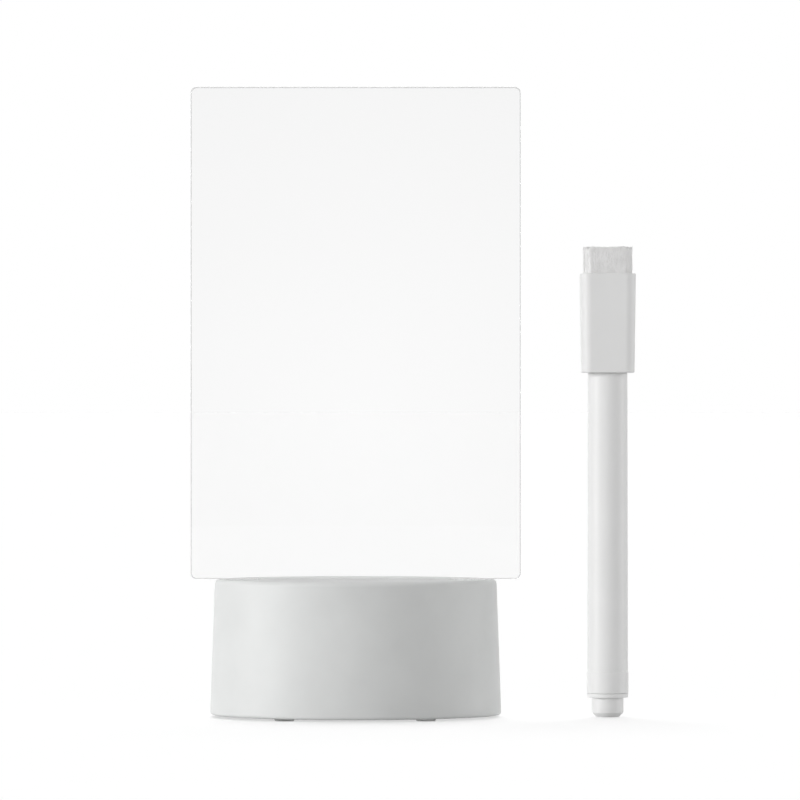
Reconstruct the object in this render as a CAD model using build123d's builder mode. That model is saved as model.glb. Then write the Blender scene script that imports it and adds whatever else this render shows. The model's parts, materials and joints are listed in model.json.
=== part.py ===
"""Lit desk writing board: a clear board in an oval battery base, with a dry-wipe marker.

Millimetres. The origin is on the desk under the centre of the base, +Z up, front -Y.
"""

import os
from math import atan2, degrees, radians, tan

from build123d import *

os.makedirs("parts", exist_ok=True)

# Base housing
BASE_LENGTH, BASE_DEPTH = 75.0, 60.0
END_RADIUS = 25.0
BASE_TOP = 35.5
SHELL_FOOT = 0.6
DRAFT = 2.0
WALL, ROOF = 1.8, 2.0
TOP_EDGE, FOOT_EDGE = 1.0, 0.9
RECESS_WALL = 1.8

# Writing board
BOARD_WIDTH, BOARD_HEIGHT, BOARD_THICKNESS = 85.0, 126.7, 3.0
BOARD_CORNER = 1.8
TAB_WIDTH, TAB_DEPTH, TAB_CHAMFER = 50.0, 12.0, 1.0
SLOT_GAP = 0.15

# Light board
SOCKET_FOOT, SOCKET_WALL = 20.3, 1.4
LIGHT_BOARD_LENGTH, LIGHT_BOARD_DEPTH, LIGHT_BOARD_THICKNESS = 58.0, 10.0, 1.2
LIGHT_BOARD_TOP = 20.0
LED_COUNT, LED_PITCH = 5, 10.0
LED_LENGTH, LED_DEPTH, LED_HEIGHT = 3.5, 2.8, 1.6
RESISTOR_LENGTH, RESISTOR_DEPTH, RESISTOR_HEIGHT, RESISTOR_Y = 2.0, 1.2, 0.5, -3.8
POST_X, POST_RADIUS, POST_PILOT = 26.6, 2.2, 0.9
POST_SCREW_HEAD, POST_SCREW_HEIGHT = 1.8, 1.2

# Base plate, battery trough and door
PLATE_FOOT, PLATE_TOP = 0.8, 3.0
PLATE_GAP = 0.15
CELL_RADIUS, CELL_LENGTH, CELL_PITCH = 5.25, 44.5, 10.7
CELL_BOTTOM = 3.2
TROUGH_LENGTH, TROUGH_WIDTH, TROUGH_ROOF, TROUGH_WALL = 50.6, 32.4, 14.0, 1.1
TROUGH_CORNER, TROUGH_RIB, TROUGH_RIB_SHORT, TROUGH_RIB_DROP = 2.0, 1.0, 12.0, 2.4
LEDGE, DOOR_TOP, DOOR_GAP, DOOR_CORNER = 0.8, 2.1, 0.2, 1.3
HOOK_X, HOOK_WIDTH, HOOK_OUT, HOOK_ROOT = 14.0, 6.0, 1.2, 1.4
HOOK_TOP, HOOK_SLOT_TOP, PLATE_SKIN = 2.75, 3.3, 1.0
LATCH_WIDTH, LATCH_LENGTH, LATCH_SLIT, NOSE_DEPTH = 10.0, 8.0, 1.0, 1.1
SCOOP_WIDTH, SCOOP_DEPTH = 7.0, 1.2
DOOR_RIB, DOOR_RIB_SHORT = 1.2, 8.0
BOSS_X, BOSS_RADIUS, BOSS_PILOT = 32.0, 2.6, 1.1
BOSS_SCREW_HEAD, BOSS_SCREW_HEIGHT, HEAD_SEAT = 2.1, 1.1, 1.2
THREAD_GAP, PILOT_SPARE = 0.03, 1.5
FOOT_X, FOOT_Y, FOOT_RADIUS = 18.0, 20.8, 2.5

# Battery contacts
SHEET = 0.4
CONTACT_WIDTH, CONTACT_HEIGHT = 8.0, 9.0
TAIL_WIDTH, TAIL_LENGTH, TAIL_SHIFT = 1.6, 2.6, 2.9
LEAF_WIDTH, LEAF_HEIGHT = 4.0, 3.9
DIMPLE_WIDTH, DIMPLE_HEIGHT = 3.2, 0.4

# Slide switch in the rear wall
SWITCH_Z, SWITCH_TRAVEL = 24.0, 2.2
POCKET_Y, PAD_Y = 27.5, 25.2
POCKET_WIDTH, POCKET_HEIGHT, WALL_CUT = 12.6, 6.4, 3.0
PAD_WIDTH, PAD_HEIGHT = 22.0, 7.4
KNOB_WIDTH, KNOB_HEIGHT, KNOB_OUT = 3.0, 2.2, 29.0
SWITCH_WIDTH, SWITCH_DEPTH, SWITCH_HEIGHT = 8.6, 4.2, 4.6
STAKE_X, STAKE_WIDTH, STAKE_HEAD, STAKE_HEIGHT = 8.6, 1.6, 2.6, 0.6
EAR_REACH, CHEEK_SHORT = 2.2, 0.8
TERMINAL_PITCH, TERMINAL_LENGTH = 2.5, 3.3
LEAD_RADIUS = 0.6

# Marker, standing on its end plug beside the base
MARKER_X = 64.9
PLUG_RADIUS, PLUG_HEIGHT, PLUG_CHAMFER = 4.1, 5.0, 1.1
FLANGE_RADIUS, FLANGE_TOP, INSERT_LENGTH = 5.3, 6.1, 6.0
BARREL_RADIUS, BARREL_BORE = 5.2, 4.25
BAND_RADIUS, BAND_TOP = 5.4, 11.6
BARREL_TOP = 88.6
NECK_RADIUS, NECK_BORE, NECK_TOP = 4.3, 3.3, 93.0
NIB_RADIUS, NIB_FOOT, NIB_TIP, NIB_BARE = 1.2, 79.0, 103.0, 4.0
HOLDER_FOOT, HOLDER_WALL, RESERVOIR_GAP = 85.6, 1.0, 0.6
CAP_TOP, CAP_WIDTH, CAP_CORNER, CAP_EDGE = 114.1, 14.0, 2.6, 0.4
CAP_BORE, CAP_BORE_TOP = 4.45, 106.0
PAD_SIZE, PAD_CORNER, PAD_SEAT, PAD_TOP = 12.3, 1.6, 3.0, 121.1
FIT = 0.1


# The oval is four tangent arcs: two ends of END_RADIUS joined by two flatter sides
END_CENTRE = BASE_LENGTH / 2 - END_RADIUS
SIDE_CENTRE = (END_CENTRE**2 - (BASE_DEPTH / 2 - END_RADIUS) ** 2) / (BASE_DEPTH - 2 * END_RADIUS)
SIDE_RADIUS = BASE_DEPTH / 2 + SIDE_CENTRE
JOIN_ANGLE = degrees(atan2(SIDE_CENTRE, END_CENTRE))


class Oval(BaseSketchObject):
    """The base's outline, moved inwards by an inset."""

    def __init__(self, inset=0.0):
        with BuildSketch() as outline:
            with BuildLine():
                for side in (-1, 1):
                    start = 90 - 90 * side - JOIN_ANGLE
                    CenterArc((side * END_CENTRE, 0), END_RADIUS - inset, start, 2 * JOIN_ANGLE)
                    start = 90 - 90 * side + JOIN_ANGLE
                    CenterArc((0, -side * SIDE_CENTRE), SIDE_RADIUS - inset, start, 180 - 2 * JOIN_ANGLE)
            make_face()
        super().__init__(outline.face(), 0, None, Mode.ADD)


def drafted(z, inset=0.0):
    """How far the drafted skin has moved inwards at a height, plus a further inset."""
    return (z - SHELL_FOOT) * tan(radians(DRAFT)) + inset


def half_depth(z, inset=0.0):
    """Half the drafted oval's depth at a height, less an inset."""
    return BASE_DEPTH / 2 - drafted(z, inset)


def keep(piece, name):
    """Labels a finished piece and writes it to its own file."""
    piece.part.label = name
    export_step(piece.part, f"parts/{name}.step")


def upright(y):
    """A plane parallel to the front, facing -Y, at a depth: its x is X and its y is Z."""
    return Plane.XZ.offset(-y)


def axis_plane(x, direction, y, z):
    """A plane that holds a line along X: its x runs along the line and its y is up."""
    return Plane(origin=(x, y, z), x_dir=(direction, 0, 0), z_dir=(0, -direction, 0))


ROOF_UNDER = BASE_TOP - ROOF
SLOT_LENGTH = TAB_WIDTH + 2 * SLOT_GAP
SLOT_DEPTH = BOARD_THICKNESS + 2 * SLOT_GAP
SOCKET_LENGTH, SOCKET_DEPTH = SLOT_LENGTH + 2 * SOCKET_WALL, SLOT_DEPTH + 2 * SOCKET_WALL
KNOB_SLOT_WIDTH = KNOB_WIDTH + SWITCH_TRAVEL + 0.3
KNOB_SLOT_HEIGHT = KNOB_HEIGHT + 0.3
RIB_X, RIB_THICKNESS, RIB_FOOT, RIB_SHORT = 15.0, 1.2, 27.0, 3.0
POST_SCREW_LENGTH, BOSS_SCREW_LENGTH = 6.5, 8.5

# Base shell: drafted oval housing with the board's socket, posts and switch pad
with BuildPart() as base_shell:
    with BuildSketch(Plane.XY.offset(SHELL_FOOT)):
        Oval(0)
    extrude(amount=BASE_TOP - SHELL_FOOT, taper=DRAFT)
    chamfer(base_shell.edges().group_by(Axis.Z)[-1], TOP_EDGE)
    chamfer(base_shell.edges().group_by(Axis.Z)[0], FOOT_EDGE)
    with BuildSketch(Plane.XY.offset(PLATE_TOP)):
        Oval(drafted(ROOF_UNDER, WALL))
    extrude(amount=ROOF_UNDER - PLATE_TOP, mode=Mode.SUBTRACT)
    with BuildSketch(Plane.XY):
        Oval(RECESS_WALL)
    extrude(amount=PLATE_TOP, mode=Mode.SUBTRACT)
    # Socket walls that guide the board's tab, and ribs that brace them
    with BuildSketch(Plane.XY.offset(SOCKET_FOOT)):
        Rectangle(SOCKET_LENGTH, SOCKET_DEPTH)
    extrude(amount=ROOF_UNDER - SOCKET_FOOT)
    with BuildSketch(Plane.XY.offset(RIB_FOOT)):
        with GridLocations(2 * RIB_X, 0, 2, 1):
            Rectangle(RIB_THICKNESS, 2 * half_depth(BASE_TOP, WALL + RIB_SHORT))
    extrude(amount=ROOF_UNDER - RIB_FOOT)
    # Posts for the light board and bosses for the base plate's screws
    with BuildSketch(Plane.XY.offset(LIGHT_BOARD_TOP)):
        with GridLocations(2 * POST_X, 0, 2, 1):
            Circle(POST_RADIUS)
    extrude(amount=ROOF_UNDER - LIGHT_BOARD_TOP)
    with BuildSketch(Plane.XY.offset(PLATE_TOP)):
        with GridLocations(2 * BOSS_X, 0, 2, 1):
            Circle(BOSS_RADIUS)
    extrude(amount=ROOF_UNDER - PLATE_TOP)
    with BuildSketch(Plane.XY.offset(LIGHT_BOARD_TOP)):
        with GridLocations(2 * POST_X, 0, 2, 1):
            Circle(POST_PILOT)
    extrude(amount=POST_SCREW_LENGTH + PILOT_SPARE, mode=Mode.SUBTRACT)
    with BuildSketch(Plane.XY.offset(PLATE_TOP)):
        with GridLocations(2 * BOSS_X, 0, 2, 1):
            Circle(BOSS_PILOT)
    extrude(amount=BOSS_SCREW_LENGTH + PILOT_SPARE, mode=Mode.SUBTRACT)
    # Slot for the board through the roof and the socket
    with BuildSketch(Plane.XY.offset(SOCKET_FOOT)):
        Rectangle(SLOT_LENGTH, SLOT_DEPTH)
    extrude(amount=BASE_TOP - SOCKET_FOOT, mode=Mode.SUBTRACT)
    # Flat pad inside and pocket outside for the switch, with square heat-staked pegs
    with BuildSketch(upright(PAD_Y)):
        with Locations((0, SWITCH_Z)):
            Rectangle(PAD_WIDTH, PAD_HEIGHT)
    extrude(amount=PAD_Y - half_depth(SWITCH_Z, WALL))
    with BuildSketch(upright(POCKET_Y)):
        with Locations((0, SWITCH_Z)):
            SlotOverall(POCKET_WIDTH, POCKET_HEIGHT)
    extrude(amount=-WALL_CUT, mode=Mode.SUBTRACT)
    with BuildSketch(upright(PAD_Y)):
        with Locations((0, SWITCH_Z)):
            Rectangle(KNOB_SLOT_WIDTH, KNOB_SLOT_HEIGHT)
    extrude(amount=-WALL_CUT, mode=Mode.SUBTRACT)
    with BuildSketch(upright(PAD_Y)):
        with Locations((-STAKE_X, SWITCH_Z), (STAKE_X, SWITCH_Z)):
            Rectangle(STAKE_WIDTH, STAKE_WIDTH)
    extrude(amount=SHEET)
    with BuildSketch(upright(PAD_Y - SHEET)):
        with Locations((-STAKE_X, SWITCH_Z), (STAKE_X, SWITCH_Z)):
            Rectangle(STAKE_HEAD, STAKE_HEAD)
    extrude(amount=STAKE_HEIGHT, taper=20)
keep(base_shell, "base_shell")

# Writing board: clear plate whose shoulders rest on the base and whose tab drops in
with BuildPart() as writing_board:
    with BuildSketch(upright(BOARD_THICKNESS / 2)):
        with Locations((0, BASE_TOP + BOARD_HEIGHT / 2)):
            RectangleRounded(BOARD_WIDTH, BOARD_HEIGHT, BOARD_CORNER)
        with Locations((0, BASE_TOP - TAB_DEPTH / 2 + BOARD_CORNER / 2)):
            Rectangle(TAB_WIDTH, TAB_DEPTH + BOARD_CORNER)
    extrude(amount=BOARD_THICKNESS)
    tab_corners = writing_board.edges().filter_by(Axis.Y).group_by(Axis.Z)[0]
    chamfer(tab_corners, TAB_CHAMFER)
keep(writing_board, "writing_board")

# Base plate: closes the shell and carries the battery trough
TROUGH_OUT_LENGTH = TROUGH_LENGTH + 2 * TROUGH_WALL
TROUGH_OUT_WIDTH = TROUGH_WIDTH + 2 * TROUGH_WALL
DOOR_HOLE_LENGTH, DOOR_HOLE_WIDTH = TROUGH_LENGTH + 2 * LEDGE, TROUGH_WIDTH + 2 * LEDGE
CONTACT_Z = CELL_BOTTOM + CELL_RADIUS
with BuildPart() as bottom_plate:
    with BuildSketch(Plane.XY.offset(PLATE_FOOT)):
        Oval(RECESS_WALL + PLATE_GAP)
    extrude(amount=PLATE_TOP - PLATE_FOOT)
    with BuildSketch(Plane.XY.offset(PLATE_TOP)):
        RectangleRounded(TROUGH_OUT_LENGTH, TROUGH_OUT_WIDTH, TROUGH_CORNER)
    extrude(amount=TROUGH_ROOF + TROUGH_WALL - PLATE_TOP)
    with BuildSketch(Plane.XY.offset(DOOR_TOP)):
        Rectangle(TROUGH_LENGTH, TROUGH_WIDTH)
    extrude(amount=TROUGH_ROOF - DOOR_TOP, mode=Mode.SUBTRACT)
    with BuildSketch(Plane.XY.offset(PLATE_FOOT)):
        RectangleRounded(DOOR_HOLE_LENGTH, DOOR_HOLE_WIDTH, DOOR_CORNER + DOOR_GAP)
    extrude(amount=DOOR_TOP - PLATE_FOOT, mode=Mode.SUBTRACT)
    # Ribs that keep the cells apart
    with BuildSketch(Plane.XY.offset(TROUGH_ROOF)):
        with GridLocations(0, CELL_PITCH, 1, 2):
            Rectangle(TROUGH_LENGTH - TROUGH_RIB_SHORT, TROUGH_RIB)
    extrude(amount=-TROUGH_RIB_DROP)
    # Pockets for the contacts in the trough's ends, and slots for the two tails
    for side in (-1, 1):
        with BuildSketch(Plane.YZ.offset(side * TROUGH_LENGTH / 2)):
            for row in (-1, 0, 1):
                with Locations((row * CELL_PITCH, CONTACT_Z)):
                    Rectangle(CONTACT_WIDTH + FIT, CONTACT_HEIGHT + FIT)
            with Locations((-side * CELL_PITCH / 2, CONTACT_Z)):
                Rectangle(CELL_PITCH, CONTACT_HEIGHT + FIT)
        extrude(amount=side * SHEET, mode=Mode.SUBTRACT)
        with BuildSketch(Plane.YZ.offset(side * TROUGH_LENGTH / 2)):
            with Locations((side * (CELL_PITCH + TAIL_SHIFT), CONTACT_Z + (CONTACT_HEIGHT - SHEET) / 2)):
                Rectangle(TAIL_WIDTH + 2 * FIT, SHEET + 2 * FIT)
        extrude(amount=side * (TROUGH_WALL + FIT), mode=Mode.SUBTRACT)
    # Slots over which the door's hooks catch, at its front edge
    with BuildSketch(Plane.XY.offset(PLATE_FOOT + PLATE_SKIN)):
        with Locations((-HOOK_X, -DOOR_HOLE_WIDTH / 2), (HOOK_X, -DOOR_HOLE_WIDTH / 2)):
            Rectangle(HOOK_WIDTH + 6 * FIT, 2 * (HOOK_OUT + FIT))
    extrude(amount=HOOK_SLOT_TOP - PLATE_FOOT - PLATE_SKIN, mode=Mode.SUBTRACT)
    # Room for the latch nose, and the scoop for a fingertip beside it
    with BuildSketch(Plane.XY.offset(DOOR_TOP)):
        with Locations((0, DOOR_HOLE_WIDTH / 2 - LEDGE / 2)):
            Rectangle(LATCH_WIDTH + LATCH_SLIT, LEDGE)
    extrude(amount=PLATE_TOP - DOOR_TOP + 3 * FIT, mode=Mode.SUBTRACT)
    with BuildSketch(Plane.XY.offset(PLATE_FOOT)):
        with Locations((0, DOOR_HOLE_WIDTH / 2)):
            SlotOverall(LATCH_WIDTH, SCOOP_WIDTH)
    extrude(amount=SCOOP_DEPTH, mode=Mode.SUBTRACT)
    # Counterbored screw holes
    with Locations(Plane(origin=(0, 0, PLATE_FOOT), z_dir=(0, 0, -1))):
        with GridLocations(2 * BOSS_X, 0, 2, 1):
            CounterBoreHole(BOSS_PILOT + 0.25, BOSS_SCREW_HEAD + 0.2, HEAD_SEAT, PLATE_TOP - PLATE_FOOT)
keep(bottom_plate, "bottom_plate")

# Battery door: hooks along the front edge, a sprung latch finger at the rear edge
DOOR_LENGTH, DOOR_WIDTH = DOOR_HOLE_LENGTH - 2 * DOOR_GAP, DOOR_HOLE_WIDTH - 2 * DOOR_GAP
HOOK_FOOT = PLATE_FOOT + PLATE_SKIN + 0.15
RIB_ROOT = DOOR_TOP - 0.5
with BuildPart() as battery_door:
    with BuildSketch(Plane.XY.offset(PLATE_FOOT)):
        RectangleRounded(DOOR_LENGTH, DOOR_WIDTH, DOOR_CORNER)
    extrude(amount=DOOR_TOP - PLATE_FOOT)
    for x in (-HOOK_X, HOOK_X):
        with BuildSketch(Plane.YZ.offset(x)):
            edge = -DOOR_WIDTH / 2
            with BuildLine():
                Polyline(
                    (edge, RIB_ROOT),
                    (edge, HOOK_FOOT),
                    (edge - HOOK_OUT, HOOK_FOOT),
                    (edge - HOOK_OUT, HOOK_TOP),
                    (edge + HOOK_ROOT, HOOK_TOP),
                    (edge + HOOK_ROOT, RIB_ROOT),
                    close=True,
                )
            make_face()
        extrude(amount=HOOK_WIDTH / 2, both=True)
    # Slits that free the latch finger, its nose, and ribs that carry the cells
    with BuildSketch(Plane.XY.offset(PLATE_FOOT)):
        with Locations((0, DOOR_WIDTH / 2 - LATCH_LENGTH / 2)):
            with GridLocations(LATCH_WIDTH + LATCH_SLIT, 0, 2, 1):
                Rectangle(LATCH_SLIT, LATCH_LENGTH)
    extrude(amount=DOOR_TOP - PLATE_FOOT, mode=Mode.SUBTRACT)
    with BuildSketch(Plane.XY.offset(DOOR_TOP)):
        with Locations((0, DOOR_WIDTH / 2 - NOSE_DEPTH / 2 + FIT)):
            Rectangle(LATCH_WIDTH - LATCH_SLIT, NOSE_DEPTH)
    extrude(amount=PLATE_TOP - DOOR_TOP)
    with BuildSketch(Plane.XY.offset(DOOR_TOP)):
        with GridLocations(2 * HOOK_X, 0, 2, 1):
            Rectangle(DOOR_RIB, TROUGH_WIDTH - DOOR_RIB_SHORT)
    extrude(amount=CELL_BOTTOM - FIT / 2 - DOOR_TOP)
keep(battery_door, "battery_door")

# Dry cells, side by side and turned in alternate directions
CELL_BODY, NUB_RADIUS = CELL_LENGTH - 1.0, 1.9
CELL_START = TROUGH_LENGTH / 2 - DIMPLE_HEIGHT - CELL_LENGTH
for number, row in enumerate((-1, 0, 1), start=1):
    facing = 1 if row else -1
    line = axis_plane(facing * CELL_START, facing, row * CELL_PITCH, CONTACT_Z)
    with BuildPart() as aaa_cell:
        with BuildSketch(line):
            with BuildLine():
                Polyline(
                    (0, 0),
                    (0, CELL_RADIUS),
                    (CELL_BODY, CELL_RADIUS),
                    (CELL_BODY, NUB_RADIUS),
                    (CELL_LENGTH, NUB_RADIUS),
                    (CELL_LENGTH, 0),
                    close=True,
                )
            make_face()
        revolve(axis=Axis(line.origin, line.x_dir))
    keep(aaa_cell, f"aaa_cell_{number}")

# Battery contacts: two bridges, and two single plates whose tails leave the trough
def contact(rows, plus_row, minus_row, side, tail):
    """A sheet against a trough end: a raised spot meets a nub, a bent leaf a flat end."""
    end = side * TROUGH_LENGTH / 2
    with BuildPart() as plate:
        middle = (rows[0] + rows[-1]) / 2 * CELL_PITCH
        width = (rows[-1] - rows[0]) * CELL_PITCH + CONTACT_WIDTH
        with BuildSketch(Plane.YZ.offset(end)):
            with Locations((middle, CONTACT_Z)):
                Rectangle(width, CONTACT_HEIGHT)
        extrude(amount=side * SHEET)
        if plus_row is not None:
            with BuildSketch(Plane.YZ.offset(end)):
                with Locations((plus_row * CELL_PITCH, CONTACT_Z)):
                    Rectangle(DIMPLE_WIDTH, DIMPLE_WIDTH)
            extrude(amount=-side * DIMPLE_HEIGHT)
        if minus_row is not None:
            with BuildSketch(axis_plane(end, -side, minus_row * CELL_PITCH, CONTACT_Z)):
                with BuildLine():
                    Polyline(
                        (-SHEET, -LEAF_HEIGHT),
                        (0.6, -LEAF_HEIGHT),
                        (LEAF_REACH, -LEAF_HEIGHT / 5),
                        (LEAF_REACH, LEAF_HEIGHT / 5),
                        (1.6, LEAF_HEIGHT - 0.5),
                    )
                    offset(amount=SHEET, side=Side.RIGHT, kind=Kind.INTERSECTION)
                make_face()
            extrude(amount=LEAF_WIDTH / 2, both=True)
        if tail:
            top = CONTACT_Z + CONTACT_HEIGHT / 2
            with BuildSketch(Plane.XY.offset(top - SHEET)):
                with Locations((end + side * TAIL_LENGTH / 2, side * (CELL_PITCH + TAIL_SHIFT))):
                    Rectangle(TAIL_LENGTH, TAIL_WIDTH)
            extrude(amount=SHEET)
    return plate


LEAF_REACH = TROUGH_LENGTH / 2 + CELL_START - SHEET
keep(contact((1, 1), 1, None, 1, True), "contact_positive")
keep(contact((-1, -1), None, -1, -1, True), "contact_negative")
keep(contact((-1, 0), -1, 0, 1, False), "contact_bridge_right")
keep(contact((0, 1), 0, 1, -1, False), "contact_bridge_left")

# Light board under the socket, with its LEDs and their resistors on top
LIGHT_BOARD_FOOT = LIGHT_BOARD_TOP - LIGHT_BOARD_THICKNESS
with BuildPart() as led_circuit_board:
    with BuildSketch(Plane.XY.offset(LIGHT_BOARD_FOOT)):
        Rectangle(LIGHT_BOARD_LENGTH, LIGHT_BOARD_DEPTH)
        with GridLocations(2 * POST_X, 0, 2, 1):
            Circle(POST_PILOT + 0.3, mode=Mode.SUBTRACT)
    extrude(amount=LIGHT_BOARD_THICKNESS)
keep(led_circuit_board, "led_circuit_board")

for number in range(LED_COUNT):
    x = (number - (LED_COUNT - 1) / 2) * LED_PITCH
    with BuildPart() as led:
        with BuildSketch(Plane.XY.offset(LIGHT_BOARD_TOP)):
            with Locations((x, 0)):
                Rectangle(LED_LENGTH, LED_DEPTH)
        extrude(amount=LED_HEIGHT)
        chamfer(led.edges().filter_by(Axis.Z).sort_by(Axis.X)[-1], 0.5)
        with BuildSketch(Plane.XY.offset(LIGHT_BOARD_TOP + LED_HEIGHT)):
            with Locations((x, 0)):
                Rectangle(LED_LENGTH - 0.8, LED_DEPTH - 0.8)
        extrude(amount=-0.3, mode=Mode.SUBTRACT)
    keep(led, f"led_{number + 1}")
    with BuildPart() as resistor:
        with BuildSketch(Plane.XY.offset(LIGHT_BOARD_TOP)):
            with Locations((x, RESISTOR_Y)):
                Rectangle(RESISTOR_LENGTH, RESISTOR_DEPTH)
        extrude(amount=RESISTOR_HEIGHT)
        chamfer(resistor.edges().group_by(Axis.Z)[-1], 0.08)
    keep(resistor, f"resistor_{number + 1}")


def screws(points, head_z, head_radius, head_height, shank_radius, length):
    """Pan-head screws driven upwards: heads below a height, shanks above it."""
    with BuildPart() as group:
        with BuildSketch(Plane.XY.offset(head_z - head_height)):
            with Locations(*points):
                Circle(head_radius)
        extrude(amount=head_height)
        with BuildSketch(Plane.XY.offset(head_z)):
            with Locations(*points):
                RegularPolygon(shank_radius, 8)
        extrude(amount=length)
    return group


post_points = [(side * POST_X, 0) for side in (-1, 1)]
boss_points = [(side * BOSS_X, 0) for side in (-1, 1)]
led_board_screws = screws(
    post_points,
    LIGHT_BOARD_FOOT,
    POST_SCREW_HEAD,
    POST_SCREW_HEIGHT,
    POST_PILOT - THREAD_GAP,
    POST_SCREW_LENGTH,
)
keep(led_board_screws, "led_board_screws")
housing_screws = screws(
    boss_points,
    PLATE_FOOT + HEAD_SEAT,
    BOSS_SCREW_HEAD,
    BOSS_SCREW_HEIGHT,
    BOSS_PILOT - THREAD_GAP,
    BOSS_SCREW_LENGTH,
)
keep(housing_screws, "housing_screws")

# Slide switch: frame staked to the shell's pad, body, knob and terminals
SWITCH_FRONT = PAD_Y - SHEET
with BuildPart() as switch_frame:
    with BuildSketch(upright(PAD_Y)):
        with Locations((0, SWITCH_Z)):
            Rectangle(2 * (STAKE_X + EAR_REACH), SWITCH_HEIGHT + 2 * SHEET)
            Rectangle(KNOB_SLOT_WIDTH, KNOB_SLOT_HEIGHT, mode=Mode.SUBTRACT)
        with Locations((-STAKE_X, SWITCH_Z), (STAKE_X, SWITCH_Z)):
            Rectangle(STAKE_WIDTH + FIT, STAKE_WIDTH + FIT, mode=Mode.SUBTRACT)
    extrude(amount=SHEET)
    # Side cheeks that clasp the body
    for row in (-1, 1):
        with BuildSketch(upright(SWITCH_FRONT)):
            with Locations((0, SWITCH_Z + row * (SWITCH_HEIGHT + SHEET) / 2)):
                Rectangle(SWITCH_WIDTH - 2 * CHEEK_SHORT, SHEET)
        extrude(amount=SWITCH_DEPTH - CHEEK_SHORT)
keep(switch_frame, "switch_frame")

CAVITY_WIDTH, CAVITY_HEIGHT, CAVITY_DEPTH = KNOB_WIDTH + SWITCH_TRAVEL + 1.4, 3.0, 2.0
with BuildPart() as switch_housing:
    with BuildSketch(upright(SWITCH_FRONT)):
        with Locations((0, SWITCH_Z)):
            Rectangle(SWITCH_WIDTH, SWITCH_HEIGHT)
    extrude(amount=SWITCH_DEPTH)
    chamfer(switch_housing.faces().sort_by(Axis.Y)[0].edges(), 0.3)
    with BuildSketch(upright(SWITCH_FRONT)):
        with Locations((0, SWITCH_Z)):
            Rectangle(CAVITY_WIDTH, CAVITY_HEIGHT)
    extrude(amount=CAVITY_DEPTH, mode=Mode.SUBTRACT)
keep(switch_housing, "switch_housing")

with BuildPart() as switch_knob:
    rest = -SWITCH_TRAVEL / 2
    with BuildSketch(upright(SWITCH_FRONT - FIT)):
        with Locations((rest, SWITCH_Z)):
            Rectangle(KNOB_WIDTH + 1.0, CAVITY_HEIGHT - 2 * FIT)
    extrude(amount=CAVITY_DEPTH - 2 * FIT)
    with BuildSketch(upright(SWITCH_FRONT - FIT)):
        with Locations((rest, SWITCH_Z)):
            Rectangle(KNOB_WIDTH, KNOB_HEIGHT)
    extrude(amount=SWITCH_FRONT - FIT - KNOB_OUT)
    # Two grooves across the tip give the finger its grip
    with BuildSketch(upright(KNOB_OUT)):
        with Locations((rest, SWITCH_Z)):
            with GridLocations(1.0, 0, 2, 1):
                Rectangle(0.4, KNOB_HEIGHT)
    extrude(amount=0.4, mode=Mode.SUBTRACT)
keep(switch_knob, "switch_knob")

SWITCH_BACK = SWITCH_FRONT - SWITCH_DEPTH
with BuildPart() as switch_terminals:
    with BuildSketch(upright(SWITCH_BACK)):
        with Locations((0, SWITCH_Z)):
            with GridLocations(TERMINAL_PITCH, 0, 3, 1):
                Rectangle(0.9, SHEET)
    extrude(amount=TERMINAL_LENGTH)
keep(switch_terminals, "switch_terminals")

# Insulated leads: each route runs from one solder joint to the other
TAIL_X = TROUGH_LENGTH / 2 + TAIL_LENGTH - 0.8
TAIL_Y = CELL_PITCH + TAIL_SHIFT
TAIL_Z = CONTACT_Z + CONTACT_HEIGHT / 2
TERMINAL_Y = SWITCH_BACK - TERMINAL_LENGTH
PAD_ROW = LIGHT_BOARD_DEPTH / 2 - 0.8
LEADS = {
    "lead_positive": [
        (TAIL_X, TAIL_Y, TAIL_Z),
        (TAIL_X, TAIL_Y, 20.5),
        (TERMINAL_PITCH, 11.5, SWITCH_Z),
        (TERMINAL_PITCH, TERMINAL_Y, SWITCH_Z),
    ],
    "lead_switched": [
        (0, TERMINAL_Y, SWITCH_Z),
        (0, 11.0, SWITCH_Z),
        (-6.0, PAD_ROW, 25.5),
        (-6.0, PAD_ROW, LIGHT_BOARD_TOP),
    ],
    "lead_negative": [
        (-TAIL_X, -TAIL_Y, TAIL_Z),
        (-TAIL_X, -TAIL_Y, 21.0),
        (-13.0, -PAD_ROW, 25.5),
        (-13.0, -PAD_ROW, LIGHT_BOARD_TOP),
    ],
}
for name, route in LEADS.items():
    with BuildPart() as lead:
        with BuildLine():
            run = Polyline(*route)
        with BuildSketch(Plane(origin=run @ 0, z_dir=run % 0)):
            RegularPolygon(LEAD_RADIUS, 6)
        sweep(path=run, transition=Transition.RIGHT)
    keep(lead, name)

# Rubber feet stuck under the base plate
foot_points = [(side * FOOT_X, row * FOOT_Y) for row in (-1, 1) for side in (-1, 1)]
for number, (x, y) in enumerate(foot_points, start=1):
    with BuildPart() as rubber_foot:
        with BuildSketch(Plane.XY):
            with Locations((x, y)):
                Circle(FOOT_RADIUS)
        extrude(amount=PLATE_FOOT)
    keep(rubber_foot, f"rubber_foot_{number}")


def turned(outline):
    """A solid of revolution about the marker's axis, from radius and height pairs."""
    with BuildPart() as solid:
        with BuildSketch(MARKER_PLANE):
            with BuildLine():
                Polyline(*outline, close=True)
            make_face()
        revolve(axis=MARKER_AXIS)
    return solid


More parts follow.
